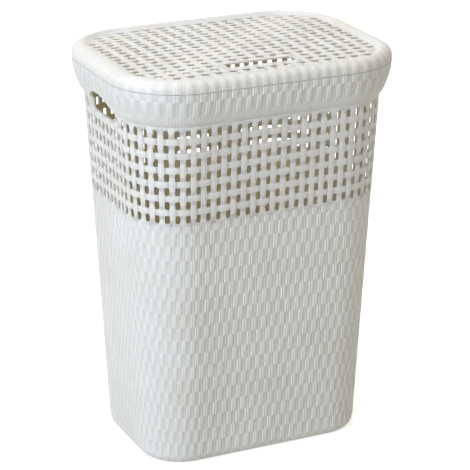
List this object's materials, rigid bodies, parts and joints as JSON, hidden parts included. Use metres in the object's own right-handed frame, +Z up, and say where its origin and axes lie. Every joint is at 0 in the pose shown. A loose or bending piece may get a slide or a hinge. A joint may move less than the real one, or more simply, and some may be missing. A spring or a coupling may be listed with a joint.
{
  "type": "laundry hamper",
  "caption": "Tall tapered plastic laundry hamper with a vent lattice, flared collar, end handle cut-outs and a hinged lattice lid with a finger slot.",
  "frame": {"origin": "middle of the tub's base, on the floor", "axes": "+Z up, +X along the hamper's long side, -Y towards the front with the finger slot, +Y towards the hinges"},
  "size_m": [0.443, 0.3465, 0.6102],
  "materials": {
    "tub_plastic": "moulded off-white polypropylene with an embossed weave",
    "lid_plastic": "moulded off-white polypropylene, ribbed rim and woven panel",
    "pin_plastic": "smooth moulded polypropylene"
  },
  "bodies": {
    "hamper": {"tub": "tub_plastic", "hinge_pin_left": "pin_plastic", "hinge_pin_right": "pin_plastic"},
    "lid": {"lid": "lid_plastic"}
  },
  "joints": [
    {"name": "lid_hinge", "type": "hinge", "parent": "hamper", "child": "lid", "pos_m": [0, 0.1735, 0.5924], "axis": [-1, 0, 0], "range_deg": [0, 105]}
  ]
}
